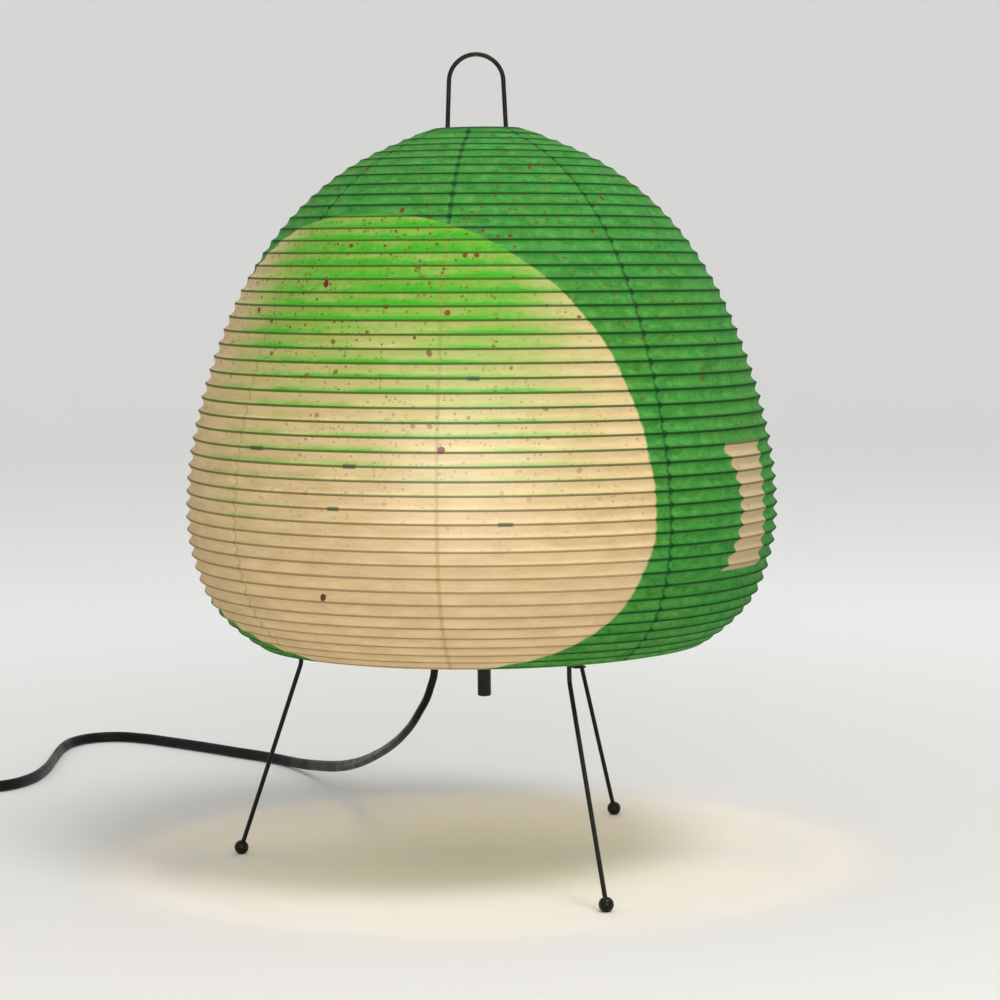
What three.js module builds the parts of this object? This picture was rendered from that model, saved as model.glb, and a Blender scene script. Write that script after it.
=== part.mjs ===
// Paper table lamp on a wire stand, with its lampholder, bulb and mains lead.
// Millimetres, +Z up. The origin is on the floor, on the lamp's axis.
import * as THREE from 'three';

// ---------- driving dimensions ----------
// The shade's outer face as [radius, height], one point at every fifth turn of the rib.
const SHADE_OUTLINE = [
  [27.2, 322.3], [58.5, 307.4], [84.0, 285.5], [102.7, 259.4], [115.9, 231.0],
  [125.2, 201.3], [130.4, 171.8], [129.9, 143.5], [120.1, 116.6], [98.9, 97.9],
];
const OUTLINE_BEFORE = [-11.5, 334.4]; // sets the slope at the first point
const OUTLINE_AFTER = [75.1, 91.6];    // sets the slope at the last point
const TURNS_PER_POINT = 5;
const SHADE_TOP_EDGE = [18.7, 326.0];
const SHADE_BOTTOM_EDGE = [93.2, 96.8];
const PAPER = 0.8;            // paper shell with its paste and rib wrap
const PAPER_ROW_TURNS = 2.25; // turns of the rib between two rows of the shell
const RIB = 0.7;              // radius of the split bamboo
const RIB_INSET = 2.9;        // from the shade's outer face to the rib's centre
const RIB_STEPS = 14;         // steps a turn

const TOP_RING = { radius: 16.0, thick: 1.6, z: 324.0 };
const BOTTOM_RING = { radius: 90.6, thick: 1.5, z: 97.9 };
const FRAME_RING = { radius: 79.2, thick: 1.2, z: 96.4 };

const WIRE = 2.0;             // diameter of the handle and leg wire
const HANDLE_ARC = 12.0;      // radius of the loop on its centre line
const HANDLE_ARC_Z = 345.3;
const HANDLE_NECK = [13.6, 308.0];
const HANDLE_SPREAD = [44.0, 256.0];

const LEG_TOP_RADIUS = 81.7;
const LEG_TOP_Z = 98.0;
const LEG_BEND_Z = 88.5;
const FOOT_RADIUS = 3.2;
const FOOT_CENTRE_Z = 3.0;
// Each leg's direction at the ring, and where its foot stands. The legs are bent by hand.
const LEGS = [
  { name: 'left', ring_deg: 180.0, foot_deg: 173.0, foot_radius: 112.0 },
  { name: 'front', ring_deg: -63.5, foot_deg: -68.0, foot_radius: 132.0 },
  { name: 'back', ring_deg: 58.5, foot_deg: 59.0, foot_radius: 118.5 },
];

const STRIP = { length: 154, width: 14, thick: 1.6, hole: 5.2, z: 95.6 };
const CLIP = { width: 5, thick: 0.8, z: 95.3, reach: 92.0, height: 3.7 };

const HOLDER_RADIUS = 19.5;
const HOLDER_TOP = 136.0;
const HOLDER_BORE = 14.4;
const BASE_RADIUS = 16.5;
const KNOB = { radius: 3.0, bottom: 72.7, top: 87.6 };

const BULB_RADIUS = 30.0;
const BULB_MIDDLE = 178.0;
const BULB_TOP = 212.0;

const CORD = 5.6;             // width of the flat two-core lead
const CORD_SIDES = 8;
const GRIP_X = -22.0;
// The lead from the grip down to the floor and out to its coil.
const LEAD_ROUTE = [
  [-22.0, 0.0, 86.0], [-22.6, 0.2, 81.5], [-23.9, 0.8, 77.2], [-25.8, 3.0, 71.6],
  [-29.2, 8.5, 64.9], [-33.1, 18.0, 57.6], [-38.8, 36.0, 49.0], [-45.4, 62.0, 40.3],
  [-54.0, 98.0, 30.4], [-62.3, 132.0, 22.1], [-70.9, 164.0, 15.3], [-79.5, 192.0, 10.4],
  [-88.0, 216.0, 7.0], [-96.6, 236.0, 4.6], [-105.4, 254.0, 3.2], [-118.0, 270.5, 3.0],
  [-137.0, 289.5, 3.0], [-155.0, 308.0, 3.0], [-174.0, 326.0, 3.0], [-192.0, 342.0, 3.0],
  [-208.0, 350.0, 3.0], [-222.0, 346.5, 3.0], [-231.0, 333.0, 3.0], [-234.0, 311.0, 3.0],
  [-233.5, 275.0, 3.0], [-233.0, 240.0, 3.0], [-236.5, 210.0, 3.0], [-246.0, 191.0, 3.0],
  [-262.0, 183.6, 3.0], [-287.4, 183.0, 3.0],
];
const COIL = { x: -308, y: 221, inner: 26.5, outer: 40.5, height: 12.2 };
const TIE = { width: 5, thick: 1.0, clear: 0.3, direction_deg: 60 };
// The free end, off the top of the coil and down to the plug.
const TAIL_ROUTE = [
  [-346.0, 241.5, 8.7], [-346.0, 248.0, 8.0], [-346.0, 254.0, 7.1], [-346.0, 260.0, 6.4],
  [-346.0, 266.0, 6.2],
];
const PLUG = { x: -346.0, y: 266.3, z: 6.2, neck: 20, body: 24, width: 20, height: 12 };
const BLADE = { length: 17, width: 6.3, thick: 1.5, apart: 12.7 };

// ---------- materials ----------
const finish = (color, roughness, metalness = 0) =>
  new THREE.MeshStandardMaterial({ color, roughness, metalness });
const FINISH = {
  paper: () => finish(0x6fa64a, 0.9),
  bamboo: () => finish(0x8a6a3c, 0.7),
  wire: () => finish(0x15150f, 0.4, 0.4),
  steel: () => finish(0x9a9a98, 0.4, 0.9),
  plastic: () => finish(0x121212, 0.5),
  brass: () => finish(0xb08a3e, 0.35, 0.9),
  nickel: () => finish(0xb8b6b0, 0.3, 0.9),
  bulbHousing: () => finish(0xf0efea, 0.5),
  bulbGlass: () => finish(0xfff3dc, 0.4),
  cord: () => finish(0x141414, 0.55),
};

const lamp = new THREE.Group();

function add(name, geometry, material, parent = lamp) {
  const mesh = new THREE.Mesh(geometry, material());
  mesh.name = name;
  parent.add(mesh);
  return mesh;
}

// ---------- shapes ----------
const radians = THREE.MathUtils.degToRad;

// A curve that runs straight from station to station, so that a swept piece has a section at each.
class StationCurve extends THREE.Curve {
  constructor(stations) {
    super();
    this.stations = stations;
  }

  getPoint(t, target = new THREE.Vector3()) {
    const last = this.stations.length - 1;
    const place = Math.min(Math.max(t, 0), 1) * last;
    const index = Math.min(Math.floor(place), last - 1);
    return target.lerpVectors(this.stations[index], this.stations[index + 1], place - index);
  }

  getUtoTmapping(u) {
    return u;
  }
}

function ngon(radius, sides) {
  const corners = [];
  for (let i = 0; i < sides; i += 1) {
    const angle = (2 * Math.PI * (i + 0.5)) / sides;
    corners.push(new THREE.Vector2(radius * Math.cos(angle), radius * Math.sin(angle)));
  }
  return corners;
}

function sweep(stations, radius, sides) {
  const path = new StationCurve(stations);
  return new THREE.ExtrudeGeometry(new THREE.Shape(ngon(radius, sides)), {
    steps: stations.length - 1, bevelEnabled: false, extrudePath: path,
  });
}

// The arc that rounds a wire's corner, as a list of points.
function bend(before, corner, after, radius, steps) {
  const toBefore = before.clone().sub(corner).normalize();
  const toAfter = after.clone().sub(corner).normalize();
  const half = toBefore.angleTo(toAfter) / 2;
  const middle = toBefore.clone().add(toAfter).normalize();
  const centre = corner.clone().addScaledVector(middle, radius / Math.sin(half));
  const start = corner.clone().addScaledVector(toBefore, radius / Math.tan(half)).sub(centre);
  const axis = new THREE.Vector3().crossVectors(start, toAfter).normalize();
  const sweepAngle = Math.PI - 2 * half;
  const points = [];
  for (let i = 0; i <= steps; i += 1) {
    points.push(start.clone().applyAxisAngle(axis, (sweepAngle * i) / steps).add(centre));
  }
  return points;
}

// A solid of revolution about Z from [radius, height] points, listed bottom to top on its outside.
function turned(profile, segments) {
  const points = profile.map(([radius, height]) => new THREE.Vector2(radius, height));
  if (profile[0][0] > 0) points.push(points[0].clone());
  return new THREE.LatheGeometry(points, segments).rotateX(Math.PI / 2);
}

function ring({ radius, thick, z }, around, tube) {
  return new THREE.TorusGeometry(radius, thick, tube, around).translate(0, 0, z);
}

// ---------- the shade ----------
// A point of the shade's outer face at a turn of the rib, on a smooth curve through the outline.
function outlineAt(turn) {
  const points = [OUTLINE_BEFORE, ...SHADE_OUTLINE, OUTLINE_AFTER];
  const place = turn / TURNS_PER_POINT;
  const index = Math.min(Math.floor(place), SHADE_OUTLINE.length - 2);
  const u = place - index;
  const [a, b, c, d] = points.slice(index, index + 4);
  const blend = (k) => 0.5 * (2 * b[k] + (c[k] - a[k]) * u
    + (2 * a[k] - 5 * b[k] + 4 * c[k] - d[k]) * u * u
    + (3 * b[k] - a[k] - 3 * c[k] + d[k]) * u * u * u);
  return [blend(0), blend(1)];
}

const TURNS = TURNS_PER_POINT * (SHADE_OUTLINE.length - 1);

// The points of an outline moved inwards by a distance, square to the line.
function inset(outline, distance) {
  return outline.map(([radius, height], i) => {
    const before = outline[Math.max(i - 1, 0)];
    const after = outline[Math.min(i + 1, outline.length - 1)];
    const along = new THREE.Vector2(after[0] - before[0], after[1] - before[1]).normalize();
    return [radius + along.y * distance, height - along.x * distance];
  });
}

function paperShade() {
  const outside = [SHADE_TOP_EDGE];
  for (let turn = 0; turn <= TURNS; turn += PAPER_ROW_TURNS) outside.push(outlineAt(turn));
  outside.push(SHADE_BOTTOM_EDGE);
  const inside = inset(outside, PAPER);
  return turned([...outside.reverse(), ...inside], 36);
}

// The rib winds down from the top ring, to the right as it crosses the lamp's front.
function bambooRib() {
  const stations = [];
  for (let step = 0; step <= TURNS * RIB_STEPS; step += 1) {
    const turn = step / RIB_STEPS;
    const [[radius, height]] = inset([outlineAt(turn), outlineAt(turn + 0.01)], RIB_INSET);
    const angle = radians(360 * turn - 90);
    stations.push(new THREE.Vector3(radius * Math.cos(angle), radius * Math.sin(angle), height));
  }
  return sweep(stations, RIB, 3);
}

add('paper_shade', paperShade(), FINISH.paper);
add('bamboo_rib', bambooRib(), FINISH.bamboo);
add('top_ring', ring(TOP_RING, 28, 8), FINISH.bamboo);
add('bottom_ring', ring(BOTTOM_RING, 40, 6), FINISH.bamboo);

// ---------- the wire stand and handle ----------
function handleWire() {
  const at = ([x, z], side) => new THREE.Vector3(side * x, 0, z);
  const foot = [HANDLE_SPREAD[0], STRIP.z + STRIP.thick + 0.3];
  const half = (side) => [
    at(foot, side),
    ...bend(at(foot, side), at(HANDLE_SPREAD, side), at(HANDLE_NECK, side), 14, 4),
    ...bend(at(HANDLE_SPREAD, side), at(HANDLE_NECK, side), at([HANDLE_ARC, HANDLE_ARC_Z], side), 10, 4),
  ];
  const loop = [];
  for (let i = 0; i <= 12; i += 1) {
    const angle = Math.PI * (1 - i / 12);
    loop.push(new THREE.Vector3(
      HANDLE_ARC * Math.cos(angle), 0, HANDLE_ARC_Z + HANDLE_ARC * Math.sin(angle),
    ));
  }
  return sweep([...half(-1), ...loop, ...half(1).reverse()], WIRE / 2, 8);
}

function footPlace({ foot_deg, foot_radius }) {
  const angle = radians(foot_deg);
  return new THREE.Vector3(foot_radius * Math.cos(angle), foot_radius * Math.sin(angle), FOOT_CENTRE_Z);
}

function legWire(leg) {
  const angle = radians(leg.ring_deg);
  const out = new THREE.Vector3(LEG_TOP_RADIUS * Math.cos(angle), LEG_TOP_RADIUS * Math.sin(angle), 0);
  const top = out.clone().setZ(LEG_TOP_Z);
  const corner = out.clone().setZ(LEG_BEND_Z);
  const foot = footPlace(leg);
  const end = corner.clone().sub(foot).setLength(FOOT_RADIUS + 0.3).add(foot);
  return sweep([top, ...bend(top, corner, foot, 8, 4), end], WIRE / 2, 8);
}

// A small ball with a flat underside, so that it stands on the floor.
function footBall() {
  const start = -Math.asin(FOOT_CENTRE_Z / FOOT_RADIUS);
  const profile = [[0, 0]];
  for (let i = 0; i <= 8; i += 1) {
    const angle = start + ((Math.PI / 2 - start) * i) / 8;
    const radius = i === 8 ? 0 : FOOT_RADIUS * Math.cos(angle);
    profile.push([radius, FOOT_CENTRE_Z + FOOT_RADIUS * Math.sin(angle)]);
  }
  return turned(profile, 16);
}

// An angle strip beside a leg's top that carries the shade's bottom ring.
function ringClip() {
  const inner = LEG_TOP_RADIUS + WIRE / 2 + 0.3;
  const reach = CLIP.reach - inner;
  const outline = new THREE.Shape([
    new THREE.Vector2(0, 0), new THREE.Vector2(reach, 0), new THREE.Vector2(reach, CLIP.thick),
    new THREE.Vector2(CLIP.thick, CLIP.thick), new THREE.Vector2(CLIP.thick, CLIP.height),
    new THREE.Vector2(0, CLIP.height),
  ]);
  return new THREE.ExtrudeGeometry(outline, { depth: CLIP.width, bevelEnabled: false })
    .translate(inner, 0, -CLIP.width / 2)
    .rotateX(Math.PI / 2)
    .translate(0, 0, CLIP.z);
}

add('handle_wire', handleWire(), FINISH.wire);
add('frame_ring', ring(FRAME_RING, 40, 6), FINISH.wire);
for (const leg of LEGS) {
  add(`leg_${leg.name}`, legWire(leg), FINISH.wire);
  const place = footPlace(leg);
  add(`foot_${leg.name}`, footBall(), FINISH.wire).position.set(place.x, place.y, 0);
  add(`ring_clip_${leg.name}`, ringClip(), FINISH.steel).rotation.z = radians(leg.ring_deg);
}

// ---------- the lampholder and its switch ----------
function crossStrip() {
  const x = STRIP.length / 2;
  const y = STRIP.width / 2;
  const outline = new THREE.Shape([
    new THREE.Vector2(-x, -y), new THREE.Vector2(x, -y), new THREE.Vector2(x, y), new THREE.Vector2(-x, y),
  ]);
  outline.holes.push(new THREE.Path(ngon(STRIP.hole, 24).reverse()));
  return new THREE.ExtrudeGeometry(outline, { depth: STRIP.thick, bevelEnabled: false })
    .translate(0, 0, STRIP.z);
}

add('cross_strip', crossStrip(), FINISH.steel);

add('holder_base', turned([
  [2.2, 88.3], [BASE_RADIUS - 1.5, 88.3], [BASE_RADIUS, 89.8], [BASE_RADIUS, 95.3],
  [4.8, 95.3], [4.8, 98.2], [2.2, 98.2],
], 28), FINISH.plastic);

add('holder_body', turned([
  [0, 98.5], [HOLDER_RADIUS - 1.5, 98.5], [HOLDER_RADIUS, 100], [HOLDER_RADIUS, HOLDER_TOP - 1],
  [HOLDER_RADIUS - 1, HOLDER_TOP], [HOLDER_BORE, HOLDER_TOP], [HOLDER_BORE, 104], [0, 104],
], 32), FINISH.plastic);

add('screw_shell', turned([[13.45, 106], [14.1, 106], [14.1, 130], [13.45, 130]], 32), FINISH.brass);
add('centre_contact', turned([[0, 104.3], [4, 104.3], [3.6, 105.2], [0, 105.2]], 16), FINISH.brass);

add('switch_stem', turned([[0, 87.9], [1.6, 87.9], [1.6, 96], [0, 96]], 12), FINISH.brass);
add('switch_knob', turned([
  [0, KNOB.bottom], [KNOB.radius - 0.6, KNOB.bottom], [KNOB.radius, KNOB.bottom + 0.6],
  [KNOB.radius, KNOB.top], [0, KNOB.top],
], 20), FINISH.plastic);

add('cord_grip', turned([[0, 86.8], [4.0, 86.8], [4.8, 90], [4.8, 95.2], [0, 95.2]], 16), FINISH.plastic)
  .position.x = GRIP_X;

// ---------- the bulb ----------
add('bulb_tip', turned([[0, 105.6], [3.6, 105.6], [4.6, 106.6], [4.6, 107.7], [0, 107.7]], 16), FINISH.brass);
add('bulb_cap', turned([[0, 108], [9, 108], [13.1, 111], [13.1, 131.7], [0, 131.7]], 28), FINISH.nickel);
add('bulb_collar', turned([
  [0, 132], [13.7, 132], [13.7, 137], [17, 142], [23, 152], [27.6, 162], [28.2, 166], [0, 166],
], 32), FINISH.bulbHousing);

function bulbGlobe() {
  const profile = [[0, 166.3]];
  const height = BULB_TOP - BULB_MIDDLE;
  const start = Math.asin((166.3 - BULB_MIDDLE) / height);
  for (let i = 0; i <= 10; i += 1) {
    const angle = start + ((Math.PI / 2 - start) * i) / 10;
    profile.push([i === 10 ? 0 : BULB_RADIUS * Math.cos(angle), BULB_MIDDLE + height * Math.sin(angle)]);
  }
  return turned(profile, 32);
}

add('bulb_globe', bulbGlobe(), FINISH.bulbGlass);

// ---------- the mains lead ----------
function lead(route, steps) {
  const points = route.map(([x, y, z]) => new THREE.Vector3(x, y, z));
  const curve = new THREE.CatmullRomCurve3(points, false, 'centripetal');
  return sweep(curve.getSpacedPoints(steps), CORD / 2, CORD_SIDES);
}

add('cord_lead', lead(LEAD_ROUTE, 56), FINISH.cord);
add('cord_coil', turned([
  [COIL.inner, 0], [COIL.outer, 0], [COIL.outer, COIL.height], [COIL.inner, COIL.height],
], 32), FINISH.cord).position.set(COIL.x, COIL.y, 0);
add('cord_tail', lead(TAIL_ROUTE, 6), FINISH.cord);

// A band over the coil's windings, open at the floor.
function cordTie() {
  const { clear, thick, width } = TIE;
  const inner = COIL.inner - clear;
  const outer = COIL.outer + clear;
  const under = COIL.height + clear;
  const outline = new THREE.Shape([
    new THREE.Vector2(inner - thick, 0), new THREE.Vector2(inner, 0),
    new THREE.Vector2(inner, under), new THREE.Vector2(outer, under),
    new THREE.Vector2(outer, 0), new THREE.Vector2(outer + thick, 0),
    new THREE.Vector2(outer + thick, under + thick), new THREE.Vector2(inner - thick, under + thick),
  ]);
  return new THREE.ExtrudeGeometry(outline, { depth: width, bevelEnabled: false })
    .translate(0, 0, -width / 2)
    .rotateX(Math.PI / 2);
}

const tie = add('cord_tie', cordTie(), FINISH.plastic);
tie.position.set(COIL.x, COIL.y, 0);
tie.rotation.z = radians(TIE.direction_deg);

// ---------- the plug ----------
const plug = new THREE.Group();
plug.position.set(PLUG.x, PLUG.y, PLUG.z);
lamp.add(plug);

function plugBody() {
  const halfWidth = PLUG.width / 2;
  const outline = new THREE.Shape([
    new THREE.Vector2(-3.4, 0), new THREE.Vector2(3.4, 0),
    new THREE.Vector2(4.6, PLUG.neck), new THREE.Vector2(halfWidth, PLUG.neck + 5),
    new THREE.Vector2(halfWidth, PLUG.neck + PLUG.body), new THREE.Vector2(-halfWidth, PLUG.neck + PLUG.body),
    new THREE.Vector2(-halfWidth, PLUG.neck + 5), new THREE.Vector2(-4.6, PLUG.neck),
  ]);
  return new THREE.ExtrudeGeometry(outline, { depth: PLUG.height, bevelEnabled: false })
    .translate(0, 0, -PLUG.height / 2);
}

add('plug_body', plugBody(), FINISH.plastic, plug);
for (const [name, side] of [['plug_blade_a', -1], ['plug_blade_b', 1]]) {
  add(name, new THREE.BoxGeometry(BLADE.thick, BLADE.length, BLADE.width), FINISH.nickel, plug)
    .position.set((side * BLADE.apart) / 2, PLUG.neck + PLUG.body + 0.3 + BLADE.length / 2, 0);
}

export default lamp;
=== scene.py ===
"""A paper table lamp on a wire stand, lit, with its mains lead. Blender 4.5.

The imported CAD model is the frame. Lengths are in metres and angles in degrees, unless a comment or a
name says otherwise.
"""
import math

import bpy
import numpy as np
from mathutils import Matrix, Vector


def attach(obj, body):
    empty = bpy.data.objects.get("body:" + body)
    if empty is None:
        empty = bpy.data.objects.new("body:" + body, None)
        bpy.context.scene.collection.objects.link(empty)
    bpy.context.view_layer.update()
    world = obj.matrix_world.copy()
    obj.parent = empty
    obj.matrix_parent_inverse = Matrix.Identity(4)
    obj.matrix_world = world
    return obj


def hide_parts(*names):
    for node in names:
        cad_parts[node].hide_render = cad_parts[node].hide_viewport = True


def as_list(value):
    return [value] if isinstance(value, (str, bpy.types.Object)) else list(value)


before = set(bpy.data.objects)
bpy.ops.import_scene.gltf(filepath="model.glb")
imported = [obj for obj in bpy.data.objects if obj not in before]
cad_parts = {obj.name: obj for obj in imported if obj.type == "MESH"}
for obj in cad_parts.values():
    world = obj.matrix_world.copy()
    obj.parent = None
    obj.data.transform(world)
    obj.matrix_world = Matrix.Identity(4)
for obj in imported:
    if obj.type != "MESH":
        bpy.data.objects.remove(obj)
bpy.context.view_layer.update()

MM = 0.001

# ---------- driving dimensions ----------
# The shade's outer face as (radius, height) in mm, one point at every fifth turn of the rib.
SHADE_OUTLINE = (
    (27.2, 322.3), (58.5, 307.4), (84.0, 285.5), (102.7, 259.4), (115.9, 231.0),
    (125.2, 201.3), (130.4, 171.8), (129.9, 143.5), (120.1, 116.6), (98.9, 97.9),
)
OUTLINE_BEFORE = (-11.5, 334.4)
OUTLINE_AFTER = (75.1, 91.6)
TURNS_PER_POINT = 5
TURNS = TURNS_PER_POINT * (len(SHADE_OUTLINE) - 1)
SHADE_TOP_EDGE = (18.9, 324.9)
SHADE_BOTTOM_EDGE = (93.2, 96.8)
PAPER = 0.35 * MM
SAG = 1.95 * MM           # how far the paper draws in between two turns of the rib, where it's widest
SAG_ENDS = 0.35          # the share of that at the top and the bottom, where the paper is taut
SAG_POWER = 1.25         # 1 is a plain V, 2 a round trough
COLUMNS = 144            # round the shade
ROWS = (0.0, 0.07, 0.2, 0.4, 0.6, 0.8, 0.93)   # down one turn, as shares of it
RIB_RADIUS = 0.55 * MM
MARGIN_TURNS = 0.5       # the level hems count as this much of a turn

WIRE_RADIUS = 1.0 * MM
HANDLE_ARC = 12.0
HANDLE_ARC_Z = 345.3
HANDLE_NECK = (13.6, 308.0)
HANDLE_SPREAD = (44.0, 256.0)
HANDLE_FOOT_Z = 97.5
LEG_TOP_RADIUS = 81.7
LEG_TOP_Z = 98.0
LEG_BEND_Z = 88.5
FOOT_RADIUS = 3.2
FOOT_CENTRE_Z = 3.0
# name, direction at the ring, direction and radius of the foot
LEGS = (("left", 180.0, 173.0, 112.0), ("front", -63.5, -68.0, 132.0), ("back", 58.5, 59.0, 118.5))

CORD_WIDTH = 5.6 * MM
CORD_THICK = 3.4 * MM
LEAD_ROUTE = (
    (-22.0, 0.0, 86.0), (-22.6, 0.2, 81.5), (-23.9, 0.8, 77.2), (-25.8, 3.0, 71.6),
    (-29.2, 8.5, 64.9), (-33.1, 18.0, 57.6), (-38.8, 36.0, 49.0), (-45.4, 62.0, 40.3),
    (-54.0, 98.0, 30.4), (-62.3, 132.0, 22.1), (-70.9, 164.0, 15.3), (-79.5, 192.0, 10.4),
    (-88.0, 216.0, 7.0), (-96.6, 236.0, 4.6), (-105.4, 254.0, 3.2), (-118.0, 270.5, 3.0),
    (-137.0, 289.5, 3.0), (-155.0, 308.0, 3.0), (-174.0, 326.0, 3.0), (-192.0, 342.0, 3.0),
    (-208.0, 350.0, 3.0), (-222.0, 346.5, 3.0), (-231.0, 333.0, 3.0), (-234.0, 311.0, 3.0),
    (-233.5, 275.0, 3.0), (-233.0, 240.0, 3.0), (-236.5, 210.0, 3.0), (-246.0, 191.0, 3.0),
    (-262.0, 183.6, 3.0), (-287.4, 183.0, 3.0),
)
COIL_CENTRE = (-308.0, 221.0)
COIL_OUTER = 38.0        # radius of the outermost winding, on its middle line
COIL_INNER = 29.0
COIL_LAYER_TURNS = 2.5   # windings in each of the two layers
COIL_STEP_TURNS = 0.25   # from the lower layer up to the upper one
COIL_LOW_Z = 2.85
COIL_HIGH_Z = 8.6
COIL_START = -90.0
TAIL_ROUTE = (
    (-346.0, 241.5, 8.7), (-346.0, 248.0, 8.0), (-346.0, 254.0, 7.1), (-346.0, 260.0, 6.4),
    (-346.0, 266.0, 6.2),
)
CORD_STEP = 2.2 * MM

CAMERA_PLACE = (0.0081, -1.376, 0.266)
CAMERA_PITCH = 4.39      # down from level
CAMERA_ROLL = -0.75
CAMERA_LENS = 111.6      # mm on a 36 mm sensor
BULB_CENTRE = (0.0, 0.0, 0.178)


def radians(angle):
    return math.radians(angle)


def metres(points):
    return np.array(points, float) * MM


def eased(share):
    return share * share * (3 - 2 * share)


# ---------- camera ----------
def make_camera():
    data = bpy.data.cameras.new("camera")
    data.lens = CAMERA_LENS
    data.sensor_width = 36.0
    camera = bpy.data.objects.new("camera", data)
    bpy.context.scene.collection.objects.link(camera)
    tilt = Matrix.Rotation(radians(90 - CAMERA_PITCH), 4, "X")
    roll = Matrix.Rotation(radians(CAMERA_ROLL), 4, "Z")
    camera.matrix_world = Matrix.Translation(CAMERA_PLACE) @ tilt @ roll
    bpy.context.scene.camera = camera


# ---------- meshes ----------
def add_mesh(name, vertices, faces, body="lamp", material=None, smooth=True):
    mesh = bpy.data.meshes.new(name)
    mesh.from_pydata([tuple(v) for v in vertices], [], faces)
    mesh.validate()
    if smooth:
        mesh.shade_smooth()
    piece = bpy.data.objects.new(name, mesh)
    bpy.context.scene.collection.objects.link(piece)
    if material is not None:
        mesh.materials.append(material)
    if body is not None:
        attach(piece, body)
    return piece


def sharpen(piece, angle):
    """Marks the edges that turn more than an angle, so that smooth shading stops at them."""
    piece.data.set_sharp_from_angle(angle=radians(angle))


def turned_rings(profile, segments):
    """Vertices and faces of a surface of revolution about Z. The profile starts on the axis, in metres."""
    vertices, faces, rows = [], [], []
    for radius, height in profile:
        if radius < 1e-7:
            rows.append([len(vertices)] * segments)
            vertices.append((0.0, 0.0, height))
            continue
        rows.append(list(range(len(vertices), len(vertices) + segments)))
        for i in range(segments):
            angle = 2 * math.pi * i / segments
            vertices.append((radius * math.cos(angle), radius * math.sin(angle), height))
    for low, high in zip(rows, rows[1:]):
        for i in range(segments):
            j = (i + 1) % segments
            corners = [low[i], low[j], high[j], high[i]]
            faces.append(list(dict.fromkeys(corners)))
    return vertices, faces


def turned(name, profile_mm, material, node, body="lamp", segments=64, place=(0, 0, 0), sharp=35):
    vertices, faces = turned_rings([(r * MM, z * MM) for r, z in profile_mm], segments)
    piece = add_mesh(name, np.array(vertices) + np.array(place) * MM, faces, body, material)
    sharpen(piece, sharp)
    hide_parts(node)
    return piece


def swept(points, across, up, section, closed=False):
    """Vertices and faces of a section carried along points. across and up are the section's axes there."""
    vertices, faces = [], []
    count, sides = len(points), len(section)
    for point, a, b in zip(points, across, up):
        vertices.extend(point + a * x + b * y for x, y in section)
    for i in range(count if closed else count - 1):
        first, second = i * sides, ((i + 1) % count) * sides
        for j in range(sides):
            k = (j + 1) % sides
            faces.append([first + j, second + j, second + k, first + k])
    if not closed:
        faces.append(list(range(sides)))
        faces.append(list(range((count - 1) * sides, count * sides))[::-1])
    return vertices, faces


def directions(points):
    ahead = np.gradient(points, axis=0)
    return ahead / np.linalg.norm(ahead, axis=1, keepdims=True)


def carried_axes(points, first_up):
    """Axes that go along a line with as little twist as they can."""
    ahead = directions(points)
    up = np.zeros_like(points)
    current = np.array(first_up, float)
    for i, d in enumerate(ahead):
        current = current - d * (current @ d)
        current /= np.linalg.norm(current)
        up[i] = current
    return np.cross(up, ahead), up


def round_section(radius, sides):
    angles = [2 * math.pi * i / sides for i in range(sides)]
    return [(radius * math.cos(a), radius * math.sin(a)) for a in angles]


def smooth_route(points, step):
    """A centripetal Catmull-Rom line through points, cut at equal steps."""
    p = [2 * points[0] - points[1], *points, 2 * points[-1] - points[-2]]
    line = []
    for a, b, c, d in zip(p, p[1:], p[2:], p[3:]):
        before, here, after = (max(np.linalg.norm(v), 1e-9) ** 0.5 for v in (b - a, c - b, d - c))
        leave = ((b - a) / before - (c - a) / (before + here) + (c - b) / here) * here
        arrive = ((c - b) / here - (d - b) / (here + after) + (d - c) / after) * here
        for t in np.linspace(0, 1, 24, endpoint=False):
            square, cube = t * t, t * t * t
            line.append(b + leave * t + (3 * (c - b) - 2 * leave - arrive) * square
                        + (2 * (b - c) + leave + arrive) * cube)
    line.append(points[-1])
    return even_steps(np.array(line), step)


def even_steps(line, step):
    run = np.concatenate([[0], np.cumsum(np.linalg.norm(np.diff(line, axis=0), axis=1))])
    places = np.linspace(0, run[-1], max(int(round(run[-1] / step)), 2) + 1)
    return np.stack([np.interp(places, run, line[:, k]) for k in range(3)], axis=1)


def rounded_corner(before, corner, after, radius, steps=8):
    """The arc that rounds a wire's corner."""
    to_before = (before - corner) / np.linalg.norm(before - corner)
    to_after = (after - corner) / np.linalg.norm(after - corner)
    half = math.acos(float(np.clip(to_before @ to_after, -1, 1))) / 2
    middle = (to_before + to_after) / np.linalg.norm(to_before + to_after)
    centre = corner + middle * (radius / math.sin(half))
    start = corner + to_before * (radius / math.tan(half)) - centre
    axis = Vector(np.cross(start, to_after)).normalized()
    turn = math.pi - 2 * half
    arc = [Matrix.Rotation(turn * i / steps, 3, axis) @ Vector(start) for i in range(steps + 1)]
    return [np.array(v) + centre for v in arc]


# ---------- materials ----------
def srgb(red, green, blue):
    """A colour as the shaders want it, from 0 to 255 values."""
    def linear(value):
        value /= 255
        return value / 12.92 if value <= 0.04045 else ((value + 0.055) / 1.055) ** 2.4
    return (linear(red), linear(green), linear(blue), 1.0)


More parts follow.
